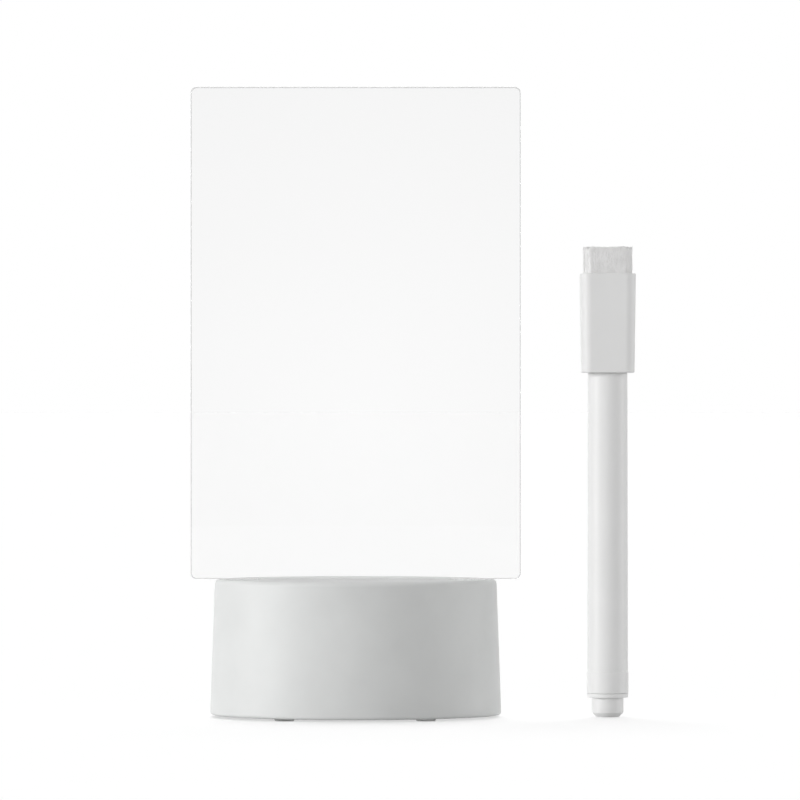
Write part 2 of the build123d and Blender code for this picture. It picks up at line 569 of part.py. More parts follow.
# Marker: barrel, end plug, ink reservoir, nib holder and nib
MARKER_PLANE = Plane(origin=(MARKER_X, 0, 0), x_dir=(1, 0, 0), z_dir=(0, -1, 0))
MARKER_AXIS = Axis((MARKER_X, 0, 0), (0, 0, 1))
marker_end_plug = turned(
    [
        (0, 0),
        (PLUG_RADIUS - PLUG_CHAMFER, 0),
        (PLUG_RADIUS, PLUG_CHAMFER),
        (PLUG_RADIUS, PLUG_HEIGHT),
        (FLANGE_RADIUS, PLUG_HEIGHT),
        (FLANGE_RADIUS, FLANGE_TOP),
        (BARREL_BORE - FIT, FLANGE_TOP),
        (BARREL_BORE - FIT, FLANGE_TOP + INSERT_LENGTH),
        (0, FLANGE_TOP + INSERT_LENGTH),
    ]
)
keep(marker_end_plug, "marker_end_plug")

marker_barrel = turned(
    [
        (BARREL_BORE, FLANGE_TOP),
        (BAND_RADIUS, FLANGE_TOP),
        (BAND_RADIUS, BAND_TOP),
        (BARREL_RADIUS, BAND_TOP),
        (BARREL_RADIUS, BARREL_TOP),
        (NECK_RADIUS, BARREL_TOP),
        (NECK_RADIUS, NECK_TOP),
        (NECK_BORE, NECK_TOP),
        (NECK_BORE, HOLDER_FOOT),
        (BARREL_BORE, HOLDER_FOOT),
    ]
)
keep(marker_barrel, "marker_barrel")

nib_holder = turned(
    [
        (NIB_RADIUS, HOLDER_FOOT),
        (NECK_BORE - 0.02, HOLDER_FOOT),
        (NECK_BORE - 0.02, NECK_TOP),
        (NIB_RADIUS + HOLDER_WALL, NECK_TOP),
        (NIB_RADIUS + HOLDER_WALL, NIB_TIP - NIB_BARE),
        (NIB_RADIUS, NIB_TIP - NIB_BARE),
    ]
)
keep(nib_holder, "nib_holder")

marker_nib = turned(
    [
        (0, NIB_FOOT),
        (NIB_RADIUS, NIB_FOOT),
        (NIB_RADIUS, NIB_TIP - NIB_RADIUS),
        (NIB_RADIUS / 2, NIB_TIP),
        (0, NIB_TIP),
    ]
)
keep(marker_nib, "marker_nib")

RESERVOIR_RADIUS, RESERVOIR_FOOT = BARREL_BORE - RESERVOIR_GAP, FLANGE_TOP + INSERT_LENGTH
ink_reservoir = turned(
    [
        (0, RESERVOIR_FOOT),
        (RESERVOIR_RADIUS, RESERVOIR_FOOT),
        (RESERVOIR_RADIUS, NIB_FOOT),
        (0, NIB_FOOT),
    ]
)
keep(ink_reservoir, "ink_reservoir")

# Cap: a rounded square, bored to clear the nib and recessed for the eraser
with BuildPart() as marker_cap:
    with BuildSketch(Plane.XY.offset(BARREL_TOP)):
        with Locations((MARKER_X, 0)):
            RectangleRounded(CAP_WIDTH, CAP_WIDTH, CAP_CORNER)
    extrude(amount=CAP_TOP - BARREL_TOP)
    chamfer(marker_cap.edges().group_by(Axis.Z)[-1], CAP_EDGE)
    with BuildSketch(Plane.XY.offset(BARREL_TOP)):
        with Locations((MARKER_X, 0)):
            Circle(CAP_BORE)
    extrude(amount=CAP_BORE_TOP - BARREL_TOP, mode=Mode.SUBTRACT)
    with BuildSketch(Plane.XY.offset(CAP_TOP - PAD_SEAT)):
        with Locations((MARKER_X, 0)):
            RectangleRounded(PAD_SIZE + 2 * FIT, PAD_SIZE + 2 * FIT, PAD_CORNER + FIT)
    extrude(amount=PAD_SEAT, mode=Mode.SUBTRACT)
keep(marker_cap, "marker_cap")

with BuildPart() as eraser_pad:
    with BuildSketch(Plane.XY.offset(CAP_TOP - PAD_SEAT)):
        with Locations((MARKER_X, 0)):
            RectangleRounded(PAD_SIZE, PAD_SIZE, PAD_CORNER)
    extrude(amount=PAD_TOP - CAP_TOP + PAD_SEAT)
keep(eraser_pad, "eraser_pad")
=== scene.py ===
"""Lit desk writing board: finishes, refined surfaces, studio light and camera.

Sizes are in millimetres, and add() turns them into the scene's metres.
"""

import json
import math
import random

import bmesh
import bpy
from mathutils import Matrix, Vector, noise

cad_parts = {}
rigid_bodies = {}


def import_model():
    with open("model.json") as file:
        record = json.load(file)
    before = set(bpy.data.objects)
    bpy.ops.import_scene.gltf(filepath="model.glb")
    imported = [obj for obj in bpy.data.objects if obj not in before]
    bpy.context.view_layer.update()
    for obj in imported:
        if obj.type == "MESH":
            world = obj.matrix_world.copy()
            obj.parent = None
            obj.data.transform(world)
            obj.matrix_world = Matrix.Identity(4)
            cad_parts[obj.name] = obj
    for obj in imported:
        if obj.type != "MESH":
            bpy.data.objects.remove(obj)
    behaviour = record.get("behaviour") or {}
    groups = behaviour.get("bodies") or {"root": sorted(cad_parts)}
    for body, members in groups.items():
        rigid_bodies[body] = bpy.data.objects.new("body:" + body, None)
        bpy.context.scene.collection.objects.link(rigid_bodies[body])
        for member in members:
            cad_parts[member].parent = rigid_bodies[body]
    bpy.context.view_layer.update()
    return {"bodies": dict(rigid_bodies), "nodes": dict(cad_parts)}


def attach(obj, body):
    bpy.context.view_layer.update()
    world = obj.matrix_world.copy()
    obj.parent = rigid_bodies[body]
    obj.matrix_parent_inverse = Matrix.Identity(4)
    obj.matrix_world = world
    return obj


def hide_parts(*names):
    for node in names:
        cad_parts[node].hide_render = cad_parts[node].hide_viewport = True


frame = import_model()
nodes = frame["nodes"]

MM = 0.001

# Base housing
END_RADIUS, END_CENTRE = 25.0, 12.5
SIDE_RADIUS, SIDE_CENTRE = 43.125, 13.125
BASE_TOP, SHELL_FOOT, DRAFT = 35.5, 0.6, 2.0
TOP_ROUND, FOOT_ROUND, RIM_ROUND, SHELL_EDGE, INSIDE_ROUND = 1.5, 1.4, 0.2, 0.22, 0.1
PLATE_TOP, RECESS_WALL, ROOF_UNDER, WALL, ROOF_STRIP = 3.0, 1.8, 33.5, 1.8, 4.0
SLOT_LENGTH, SLOT_DEPTH, SOCKET_FOOT, SOCKET_WALL = 50.3, 3.3, 20.3, 1.4
POST_X, POST_RADIUS, POST_FOOT, POST_BORE, POST_BORE_TOP = 26.6, 2.2, 20.0, 0.9, 28.0
BOSS_X, BOSS_RADIUS, BOSS_FOOT, BOSS_BORE, BOSS_BORE_TOP = 32.0, 2.6, PLATE_TOP, 1.1, 13.0
RIB_X, RIB_THICKNESS, RIB_LENGTH, RIB_FOOT = 15.0, 1.2, 47.96, 27.0

# Where the socket, posts, bosses and ribs end inside the roof, and how far the cutters reach
ROOT_TOP = ROOF_UNDER + 0.3
SLOT_CUT, SOCKET_CUT, POCKET_CUT, WINDOW_CUT = 10.0, 20.0, 5.0, 8.0

# Slide switch in the rear wall, and the stakes that hold its frame
SWITCH_Z, POCKET_Y, POCKET_WIDTH, POCKET_HEIGHT = 24.0, 27.5, 12.6, 6.4
WINDOW_WIDTH, WINDOW_HEIGHT = 5.5, 2.5
SEAT_Y, SEAT_WIDTH, SEAT_HEIGHT, SEAT_GAP = 25.2, 22.0, 7.4, 0.05
STAKE_X, STAKE_HALF, STAKE_HEAD_HALF, STAKE_TIP_HALF = 8.6, 0.8, 1.3, 1.08
STAKE_ROOT, STAKE_NECK, STAKE_LENGTH = 0.1, 0.4, 1.0
LETTER_SIZE, LETTER_RELIEF, LETTER_EDGE = 3.0, 0.2, 0.03
LETTER_PLACES = {"ON": 10.2, "OFF": -10.4}

# Writing board
BOARD_WIDTH, BOARD_TOP, BOARD_THICKNESS, BOARD_CORNER = 85.0, 162.2, 3.0, 1.8
TAB_WIDTH, TAB_DEPTH, TAB_CORNER, SHOULDER_CORNER = 50.0, 12.0, 1.0, 0.3
BOARD_EDGE_ROUND = 0.3

# Marker: end plug, barrel with its end band, collar and nib
MARKER_X = 64.9
PLUG_FOOT_RADIUS, PLUG_RADIUS, PLUG_BEVEL, PLUG_SHOULDER, PLUG_DRAFT = 2.95, 4.1, 1.15, 4.95, 0.04
FLANGE_RADIUS, FLANGE_FOOT, FLANGE_TOP = 5.28, 5.02, 6.08
STEM_RADIUS, STEM_TOP = 4.15, 12.1
BAND_RADIUS, BAND_BORE, BAND_FOOT, BAND_TOP, BAND_STEP = 5.36, 4.4, 6.14, 11.5, 0.3
BARREL_FOOT_RADIUS, BARREL_TOP_RADIUS, BARREL_TOP = 5.24, 5.1, 88.6
BARREL_BORE, BORE_FOOT, BORE_TOP = 4.25, 6.3, 85.6
NECK_RADIUS, NECK_BORE, NECK_TOP = 4.3, 3.3, 93.0
COLLAR_RADIUS, COLLAR_FOOT = 3.28, 85.7
NOSE_RADIUS, NOSE_BORE, NOSE_FOOT, NOSE_TOP = 2.2, 1.25, 93.4, 99.0
NIB_RADIUS, NIB_FOOT, NIB_TOP = 1.2, 79.0, 103.0
NIB_SHOULDER, NIB_CROWN, NIB_CROWN_RADIUS = 1.1, 0.2, 0.9

# Cap and eraser
CAP_FOOT, CAP_TOP, CAP_FOOT_HALF, CAP_TOP_HALF = 88.6, 114.1, 6.76, 7.12
CAP_CORNER, CAP_CORNER_HALF, CAP_CORNER_GROWTH = 2.6, 7.0, 0.6
CAP_FOOT_FACE, CAP_TOP_FACE, CAP_FOOT_ROUND, CAP_TOP_ROUND = 6.1, 6.6, 0.45, 0.4
CAP_BORE, CAP_BORE_MOUTH, CAP_BORE_TOP, MOUTH_DEPTH = 4.45, 4.7, 106.0, 0.4
PAD_SIZE, PAD_TOP, PAD_ROOM, PAD_DEPTH, PAD_CORNER = 12.3, 121.1, 0.08, 3.0, 1.7
SEAT_CHAMFER, SEAT_CHAMFER_DEPTH, SEAT_CORNER_GROWTH = 0.08, 0.1, 0.05
FELT_HALF, FELT_FOOT, FELT_TOP = PAD_SIZE / 2 - 0.1, CAP_TOP - 2.9, PAD_TOP - 0.25
FIBRES_ON_TOP, FIBRES_ON_SIDES = 2600, 2600

# Cells, screws, feet, leads and LEDs
CELL_PITCH, CELL_Z, CELL_START, CELL_BODY, CELL_LENGTH = 10.7, 8.45, -19.6, 43.5, 44.5
CELL_RADIUS, CELL_BUTTON_RADIUS, WRAP_RADIUS, WRAP_REACH = 5.25, 1.9, 3.5, 25.3
FOOT_DISH, FOOT_DISH_RADIUS, TOP_DISH, TOP_DISH_RADIUS, DISH_SLOPE = 0.12, 3.9, 0.25, 3.2, 0.2
CROSS_LENGTH, CROSS_WIDTH, HEAD_CROWN, SCREW_EDGE = 1.15, 0.25, 0.1, 0.05
FOOT_X, FOOT_Y, FOOT_RADIUS, FOOT_HEIGHT = 18.0, 20.8, 2.5, 0.8
LEAD_RADIUS, SOLDER_RADIUS = 0.6, 0.85
LED_RECESS_TOP, TRACK_PITCH = 21.45, 3.2

# How often light may turn on its way before the clear board lets it go straight through
LONG_INSIDE = 4.5

# How finely round forms are divided
OVAL_STEPS, POCKET_STEPS, CAP_STEPS = 48, 12, 18
POST_STEPS, MARKER_STEPS, COLLAR_STEPS, NIB_STEPS, CELL_STEPS = 40, 96, 64, 32, 64


# Outlines


def arc(centre, radius, start, end, steps):
    """Points of an arc, in degrees, without its last one."""
    x, y = centre
    turns = [math.radians(start + (end - start) * i / steps) for i in range(steps)]
    return [Vector((x + radius * math.cos(t), y + radius * math.sin(t))) for t in turns]


def oval(inset):
    """The base's outline, moved inwards: two ends and two flatter sides."""
    meet = math.degrees(math.atan2(SIDE_CENTRE, END_CENTRE))
    end, side = END_RADIUS - inset, SIDE_RADIUS - inset
    points = arc((END_CENTRE, 0), end, -meet, meet, OVAL_STEPS)
    points += arc((0, -SIDE_CENTRE), side, meet, 180 - meet, OVAL_STEPS)
    points += arc((-END_CENTRE, 0), end, 180 - meet, 180 + meet, OVAL_STEPS)
    points += arc((0, SIDE_CENTRE), side, 180 + meet, 360 - meet, OVAL_STEPS)
    return points


def rectangle(half_x, half_y):
    """The four corners of a rectangle about the origin."""
    return [Vector((x * half_x, y * half_y)) for x, y in ((1, 1), (-1, 1), (-1, -1), (1, -1))]


def rounded_rectangle(width, height, corner, steps):
    """A rectangle about the origin with round corners."""
    x, y = width / 2 - corner, height / 2 - corner
    points = []
    for cx, cy, start in ((x, y, 0), (-x, y, 90), (-x, -y, 180), (x, -y, 270)):
        points += arc((cx, cy), corner, start, start + 90, steps)
        turn = math.radians(start + 90)
        points.append(Vector((cx + corner * math.cos(turn), cy + corner * math.sin(turn))))
    return points


def rounded(points, radii, steps=5):
    """An open polyline with a radius for each of its inner corners."""
    points = [Vector(p) for p in points]
    result = [points[0]]
    for a, b, c, radius in zip(points, points[1:], points[2:], radii):
        if radius <= 0:
            result.append(b)
            continue
        before, after = a - b, c - b
        reach = radius / math.tan(before.angle(after) / 2)
        reach = min(reach, 0.48 * before.length, 0.48 * after.length)
        start, end = b + before.normalized() * reach, b + after.normalized() * reach
        for i in range(steps + 1):
            t = i / steps
            result.append(start * (1 - t) ** 2 + b * 2 * t * (1 - t) + end * t**2)
    result.append(points[-1])
    return result


def level(outline, z):
    """An outline as a ring at a height."""
    return [(p.x, p.y, z) for p in outline]


def upright(outline, y, z=0.0):
    """An outline as a ring that stands across the depth, with its second axis upwards."""
    return [(p.x, y, z + p.y) for p in outline]


# Meshes


def loft(rings, closed=True):
    """A bmesh through rings with equally many points. A closed one has both ends filled."""
    bm = bmesh.new()
    rows = [[bm.verts.new(Vector(p)) for p in ring] for ring in rings]
    count = len(rows[0])
    for low, high in zip(rows, rows[1:]):
        for i in range(count):
            j = (i + 1) % count
            bm.faces.new((low[i], low[j], high[j], high[i]))
    if closed:
        bm.faces.new(rows[0][::-1])
        bm.faces.new(rows[-1])
    bmesh.ops.recalc_face_normals(bm, faces=bm.faces)
    return bm


def turned(profile, origin, axis="Z", steps=48, hollow=False):
    """A solid of revolution from radius and height pairs, about an axis through a point."""
    rings = []
    for radius, height in profile:
        ring = []
        for i in range(steps):
            turn = 2 * math.pi * i / steps
            a, b = max(radius, 1e-3) * math.cos(turn), max(radius, 1e-3) * math.sin(turn)
            ring.append({"Z": (a, b, height), "X": (height, a, b), "-X": (-height, a, -b)}[axis])
        rings.append([Vector(p) + Vector(origin) for p in ring])
    if not hollow:
        return loft(rings)
    bm = loft(rings + rings[:1], closed=False)
    bmesh.ops.remove_doubles(bm, verts=bm.verts, dist=1e-5)
    bmesh.ops.recalc_face_normals(bm, faces=bm.faces)
    return bm


def block(size, centre):
    """A box."""
    bm = bmesh.new()
    bmesh.ops.create_cube(bm, size=1.0)
    bmesh.ops.transform(bm, matrix=Matrix.Translation(centre) @ Matrix.Diagonal((*size, 1)), verts=bm.verts)
    return bm


def add(name, bm, scale=MM):
    """Puts a bmesh into the scene as an object."""
    mesh = bpy.data.meshes.new(name)
    bmesh.ops.scale(bm, vec=(scale, scale, scale), verts=bm.verts)
    bm.to_mesh(mesh)
    bm.free()
    obj = bpy.data.objects.new(name, mesh)
    bpy.context.scene.collection.objects.link(obj)
    return obj


def settle(obj):
    """Replaces an object's mesh by the result of its modifiers."""
    graph = bpy.context.evaluated_depsgraph_get()
    mesh = bpy.data.meshes.new_from_object(obj.evaluated_get(graph))
    obj.modifiers.clear()
    obj.data = mesh


def cut(obj, cutters):
    """Cuts solids away from an object."""
    tools = [add("cutter", bm) for bm in cutters]
    for tool in tools:
        change = obj.modifiers.new("cut", "BOOLEAN")
        change.operation, change.solver, change.object = "DIFFERENCE", "EXACT", tool
    settle(obj)
    for tool in tools:
        bpy.data.objects.remove(tool)


def soften(obj, width=0.0, angle=50, segments=3, material=-1):
    """Shades an object smooth, and rounds its edges that are sharper than an angle."""
    obj.data.shade_smooth()
    if width:
        change = obj.modifiers.new("round", "BEVEL")
        change.width, change.segments, change.material = width * MM, segments, material
        change.limit_method, change.angle_limit = "ANGLE", math.radians(angle)
    change = obj.modifiers.new("normals", "WEIGHTED_NORMAL")
    change.keep_sharp = True
    settle(obj)


def join(name, objs):
    """One object from several."""
    bm = bmesh.new()
    for obj in objs:
        bm.from_mesh(obj.data)
        bpy.data.objects.remove(obj)
    joined = add(name, bm, scale=1.0)
    soften(joined)
    return joined


def finish(obj, material, body, replaces=()):
    """Gives a piece its material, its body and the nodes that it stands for."""
    if material:
        obj.data.materials.clear()
        obj.data.materials.append(material)
    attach(obj, body)
    if replaces:
        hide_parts(*replaces)


# Materials


def add_node(tree, kind, inputs=None, **settings):
    """A shader node. Each of its inputs is a socket to link or a value to set."""
    node = tree.nodes.new(kind)
    for key, value in settings.items():
        setattr(node, key, value)
    for key, value in (inputs or {}).items():
        if isinstance(value, bpy.types.NodeSocket):
            tree.links.new(value, node.inputs[key])
        else:
            node.inputs[key].default_value = value
    return node


class Surface:
    """A material with a Principled shader and short ways to feed it."""

    def __init__(self, name, **values):
        self.material = bpy.data.materials.new(name)
        self.material.use_nodes = True
        self.tree = self.material.node_tree
        self.shader = self.tree.nodes["Principled BSDF"]
        for key, value in values.items():
            self.shader.inputs[key.replace("_", " ")].default_value = value
        self.place = self.add("ShaderNodeTexCoord").outputs["Object"]

    def add(self, kind, inputs=None, **settings):
        """A node in this material."""
        return add_node(self.tree, kind, inputs, **settings)

    def feed(self, name, socket):
        """Links a socket to one of the shader's inputs."""
        self.tree.links.new(socket, self.shader.inputs[name])

    def give_way(self, factor, other):
        """Lets another shader take the place of this one by a factor."""
        mixed = self.add("ShaderNodeMixShader", {0: factor, 1: self.shader.outputs[0], 2: other})
        self.tree.links.new(mixed.outputs[0], self.tree.nodes["Material Output"].inputs["Surface"])

    def along(self, axis):
        """The place along one axis, in metres."""
        return self.add("ShaderNodeSeparateXYZ", {0: self.place}).outputs[axis]

    def maths(self, operation, first, second, **settings):
        """The result of one operation on two sockets or values."""
        inputs = {0: first, 1: second}
        return self.add("ShaderNodeMath", inputs, operation=operation, **settings).outputs[0]

    def noise(self, size, detail=2.0):
        """Noise whose features have about a size, or one size for each axis."""
        sizes = size if isinstance(size, tuple) else (size, size, size)
        scale = tuple(1 / (s * MM) for s in sizes)
        place = self.add("ShaderNodeVectorMath", {0: self.place, 1: scale}, operation="MULTIPLY")
        inputs = {"Vector": place.outputs["Vector"], "Scale": 1.0, "Detail": detail}
        return self.add("ShaderNodeTexNoise", inputs).outputs["Fac"]

    def ramp(self, factor, *stops):
        """A colour ramp of (position, colour) stops."""
        node = self.add("ShaderNodeValToRGB", {"Fac": factor})
        bar = node.color_ramp.elements
        while len(bar) < len(stops):
            bar.new(0.5)
        for element, (position, colour) in zip(bar, stops):
            element.position = position
            element.color = (*colour, 1)
        return node.outputs["Color"]

    def mapped(self, factor, low, high, start=0.0, end=1.0):
        """A factor that goes from low to high while another goes from start to end."""
        inputs = {"Value": factor, "From Min": start, "From Max": end, "To Min": low, "To Max": high}
        return self.add("ShaderNodeMapRange", inputs).outputs["Result"]

    def bump(self, height, depth, strength=1.0, after=None):
        """A bump with a depth, on top of another where there is one."""
        inputs = {"Height": height, "Distance": depth * MM, "Strength": strength}
        if after is not None:
            inputs["Normal"] = after
        return self.add("ShaderNodeBump", inputs).outputs["Normal"]


def grey(value, warmth=0.0):
    """A grey, made warmer by a share."""
    return (value * (1 + warmth), value, value * (1 - warmth))


def tint(colour, share):
    """A colour made darker or lighter."""
    return tuple(min(1.0, c * share) for c in colour)


def moulded(name, colour, roughness, grain=0.35, depth=0.012, cloud=0.025):
    """Moulded plastic: spark-eroded grain, faint flow clouds and rubbed patches."""
    s = Surface(name, Roughness=roughness, IOR=1.49, Specular_IOR_Level=0.3)
    clouds = s.noise(14.0, 3.0)
    s.feed("Base Color", s.ramp(clouds, (0.3, tint(colour, 1 - cloud)), (0.7, tint(colour, 1 + cloud))))
    s.feed("Roughness", s.mapped(s.noise(5.0, 4.0), roughness - 0.05, roughness + 0.06, 0.3, 0.7))
    fine = s.bump(s.noise(grain), depth)
    s.feed("Normal", s.bump(s.noise(22.0, 1.0), 0.05, 0.4, fine))
    return s.material


def let_light_through(s):
    """Light that casts shadows, or has bounced elsewhere or long inside, goes nearly straight through."""
    path = s.add("ShaderNodeLightPath").outputs
    passing = s.maths("MAXIMUM", path["Is Shadow Ray"], path["Is Diffuse Ray"])
    deep = s.maths("GREATER_THAN", path["Ray Depth"], LONG_INSIDE)
    straight = s.add("ShaderNodeBsdfTransparent", {"Color": (0.86, 0.86, 0.86, 1)}).outputs[0]
    s.give_way(s.maths("MAXIMUM", passing, deep), straight)


def acrylic_face(name):
    """The polished faces of cast acrylic, with faint wipes."""
    s = Surface(name, IOR=1.49, Roughness=0.0, Transmission_Weight=1.0)
    s.feed("Base Color", s.ramp(s.noise(45.0), (0.3, grey(0.948)), (0.7, grey(0.952))))
    s.feed("Roughness", s.mapped(s.noise(4.0, 5.0), 0.0, 0.02, 0.5, 0.8))
    s.feed("Normal", s.bump(s.noise(60.0, 1.0), 0.02, 0.2))
    let_light_through(s)
    return s.material


def acrylic_edge(name):
    """The cut edges of cast acrylic, slightly frosted. Their mid grey is partly the frosting and partly
    painted shade for the dark line along a clear plate's edge.
    """
    s = Surface(name, IOR=1.49, Roughness=0.0, Transmission_Weight=0.8)
    cuts = s.noise((0.5, 6.0, 0.5), 3.0)
    # Painted shade: this grey is darker than frosted acrylic, standing in for the dark line that refraction
    # gives the plate's edges; the streaks are saw marks
    s.feed("Base Color", s.ramp(cuts, (0.25, grey(0.52)), (0.75, grey(0.62))))
    s.feed("Roughness", s.mapped(cuts, 0.16, 0.28, 0.3, 0.7))
    s.feed("Normal", s.bump(cuts, 0.006))
    let_light_through(s)
    return s.material


def metal(name, colour, roughness, brushed=(0.2, 6.0, 0.2)):
    """Plated sheet or wire with fine lines and dull spots."""
    s = Surface(name, Metallic=1.0, Roughness=roughness)
    lines = s.noise(brushed, 3.0)
    s.feed("Base Color", s.ramp(s.noise(1.2, 3.0), (0.3, tint(colour, 0.86)), (0.65, tint(colour, 1.06))))
    s.feed("Roughness", s.mapped(lines, roughness - 0.08, roughness + 0.12, 0.3, 0.7))
    s.feed("Normal", s.bump(lines, 0.01))
    return s.material


def rubber(name, colour):
    """Cast translucent rubber with a dull bloom."""
    s = Surface(name, Roughness=0.6, IOR=1.4, Transmission_Weight=0.7)
    bloom = s.noise(0.8, 4.0)
    s.feed("Base Color", s.ramp(bloom, (0.3, tint(colour, 0.88)), (0.7, colour)))
    s.feed("Roughness", s.mapped(bloom, 0.5, 0.75, 0.3, 0.7))
    s.feed("Normal", s.bump(s.noise(0.15), 0.01))
    return s.material


def fibres(name, colour, dark, depth=0.12, sheen=0.3):
    """Felt or pressed fibre whose strands run upwards."""
    s = Surface(name, Roughness=0.95, IOR=1.45, Sheen_Weight=sheen, Sheen_Roughness=0.5)
    strands = s.noise((0.12, 0.12, 1.6), 4.0)
    both = s.maths("ADD", strands, s.noise(2.2, 3.0))
    s.feed("Base Color", s.ramp(s.maths("MULTIPLY", both, 0.5), (0.32, dark), (0.62, colour)))
    s.feed("Normal", s.bump(strands, depth))
    return s.material


def insulated(name, colour):
    """Wire insulation: smooth and slightly waxy."""
    s = Surface(name, Roughness=0.35, IOR=1.5)
    tone = s.noise(3.0)
    s.feed("Base Color", s.ramp(tone, (0.3, tint(colour, 0.8)), (0.7, colour)))
    s.feed("Roughness", s.mapped(tone, 0.28, 0.42, 0.3, 0.7))
    s.feed("Normal", s.bump(s.noise(0.5), 0.01))
    return s.material


def solder_mask(name):
    """White mask over a circuit board's copper tracks, which show as slightly raised lines."""
    s = Surface(name, Roughness=0.32, IOR=1.5)
    rows = s.maths("MULTIPLY", s.along("Y"), 1 / (TRACK_PITCH * MM))
    track = s.mapped(s.maths("PINGPONG", rows, 1.0), 0.0, 1.0, 0.42, 0.5)
    s.feed("Base Color", s.ramp(track, (0.0, (0.80, 0.82, 0.79)), (1.0, (0.70, 0.74, 0.66))))
    s.feed("Roughness", s.mapped(s.noise(1.5, 3.0), 0.26, 0.4, 0.3, 0.7))
    s.feed("Normal", s.bump(track, 0.03))
    return s.material


def shrink_wrap(name, direction):
    """A cell's wrap: a dark body with a pale band at the positive end."""
    s = Surface(name, Roughness=0.28, IOR=1.5)
    reach = WRAP_REACH * MM * direction
    along = s.mapped(s.along("X"), 0.0, 1.0, -reach, reach)
    dark, pale = (0.055, 0.075, 0.095), (0.52, 0.53, 0.54)
    s.feed("Base Color", s.ramp(along, (0.0, dark), (0.735, dark), (0.745, pale), (1.0, pale)))
    s.feed("Roughness", s.mapped(s.noise(4.0, 3.0), 0.2, 0.36, 0.3, 0.7))
    s.feed("Normal", s.bump(s.noise(6.0, 1.0), 0.01))
    return s.material


def lens(name):
    """An LED: a white body with yellow phosphor at the bottom of its recess."""
    s = Surface(name, Roughness=0.3, IOR=1.53)
    tone = s.noise(0.6, 3.0)
    phosphor = s.ramp(tone, (0.35, (0.80, 0.66, 0.22)), (0.7, (0.86, 0.76, 0.36)))
    body = s.ramp(tone, (0.35, (0.78, 0.78, 0.75)), (0.7, (0.84, 0.84, 0.82)))
    normal = s.add("ShaderNodeNewGeometry").outputs["Normal"]
    facing = s.add("ShaderNodeSeparateXYZ", {0: normal}).outputs["Z"]
    low = s.maths("LESS_THAN", s.along("Z"), LED_RECESS_TOP * MM)
    recess = s.maths("MULTIPLY", facing, low, use_clamp=True)
    both = s.add("ShaderNodeMix", {0: recess}, data_type="RGBA")
    s.tree.links.new(body, both.inputs["A"])
    s.tree.links.new(phosphor, both.inputs["B"])
    s.feed("Base Color", both.outputs["Result"])
    s.feed("Normal", s.bump(s.noise(0.2), 0.01))
    return s.material


shell_white = moulded("shell_plastic", (0.706, 0.716, 0.710), 0.44)
plate_white = moulded("plate_plastic", (0.72, 0.728, 0.722), 0.5, grain=0.5, depth=0.02)
marker_white = moulded("marker_plastic", (0.852, 0.852, 0.848), 0.36, grain=0.8, depth=0.006, cloud=0.012)
switch_black = moulded("switch_body", (0.035, 0.035, 0.037), 0.45, grain=0.3, cloud=0.1)
knob_grey = moulded("switch_knob", (0.62, 0.625, 0.63), 0.45, grain=0.3)
resistor_black = moulded("resistor", (0.03, 0.03, 0.032), 0.3, grain=0.2, cloud=0.15)
clear_face = acrylic_face("clear_board")
clear_edge_with_painted_shade = acrylic_edge("clear_board_edge")
nickel = metal("contact_steel", (0.66, 0.65, 0.63), 0.32)
zinc = metal("screw_steel", (0.58, 0.58, 0.57), 0.38, brushed=(0.3, 0.3, 0.3))
foot_rubber = rubber("foot_rubber", (0.74, 0.74, 0.73))
felt = fibres("eraser_felt", grey(0.92, 0.004), grey(0.82, 0.004), depth=0.08)
nib_fibre = fibres("marker_nib", (0.035, 0.036, 0.042), (0.012, 0.012, 0.015), depth=0.03, sheen=0.0)
ink_fibre = fibres("ink_fibre", (0.09, 0.09, 0.11), (0.03, 0.03, 0.04), sheen=0.1)
wire_red = insulated("lead_red", (0.50, 0.030, 0.022))
wire_black = insulated("lead_black", (0.02, 0.02, 0.02))
board_white = solder_mask("circuit_board")
led_lens = lens("led_white")

# Nodes that keep their own shape take their finish here
CONTACTS = ["contact_positive", "contact_negative", "contact_bridge_left", "contact_bridge_right"]
CARRIED = {
    plate_white: ["bottom_plate", "battery_door"],
    nickel: [*CONTACTS, "switch_frame", "switch_terminals"],
    switch_black: ["switch_housing"],
    knob_grey: ["switch_knob"],
    board_white: ["led_circuit_board"],
    led_lens: [f"led_{i}" for i in range(1, 6)],
    resistor_black: [f"resistor_{i}" for i in range(1, 6)],
    ink_fibre: ["ink_reservoir"],
}
for finish_material, names in CARRIED.items():
    for node_name in names:
        for material_slot in nodes[node_name].material_slots:
            material_slot.material = finish_material


# Base


def drafted(z):
    """How far the shell's wall leans inwards at a height."""
    return (z - SHELL_FOOT) * math.tan(math.radians(DRAFT))


def window_cutter():
    """A cutter for the window that the switch's knob stands in."""
    return block((WINDOW_WIDTH, WINDOW_CUT, WINDOW_HEIGHT), (0, POCKET_Y, SWITCH_Z))


def make_shell():
    """The drafted oval housing, open below, with the plate's slot and the switch's pocket cut in."""
    lean = drafted(BASE_TOP)
    cavity = drafted(ROOF_UNDER) + WALL
    skin = [
        (RECESS_WALL, PLATE_TOP),
        (RECESS_WALL, SHELL_FOOT),
        (0, SHELL_FOOT),
        (lean, BASE_TOP),
        (lean + ROOF_STRIP, BASE_TOP),
    ]
    skin = rounded(skin, [RIM_ROUND, FOOT_ROUND, TOP_ROUND], 8)
    sections = [(cavity, ROOF_UNDER), (cavity, PLATE_TOP), *skin]
    shell = add("base_shell_skin", loft([level(oval(inset), z) for inset, z in sections]))
    slot = block((SLOT_LENGTH, SLOT_DEPTH, SLOT_CUT), (0, 0, BASE_TOP))
    outline = rounded_rectangle(POCKET_WIDTH, POCKET_HEIGHT, POCKET_HEIGHT / 2 - 0.01, POCKET_STEPS)
    pocket = loft([upright(outline, y, SWITCH_Z) for y in (POCKET_Y, POCKET_Y + POCKET_CUT)])
    cut(shell, [slot, pocket, window_cutter()])
    soften(shell, SHELL_EDGE)
    finish(shell, shell_white, "base", ["base_shell"])


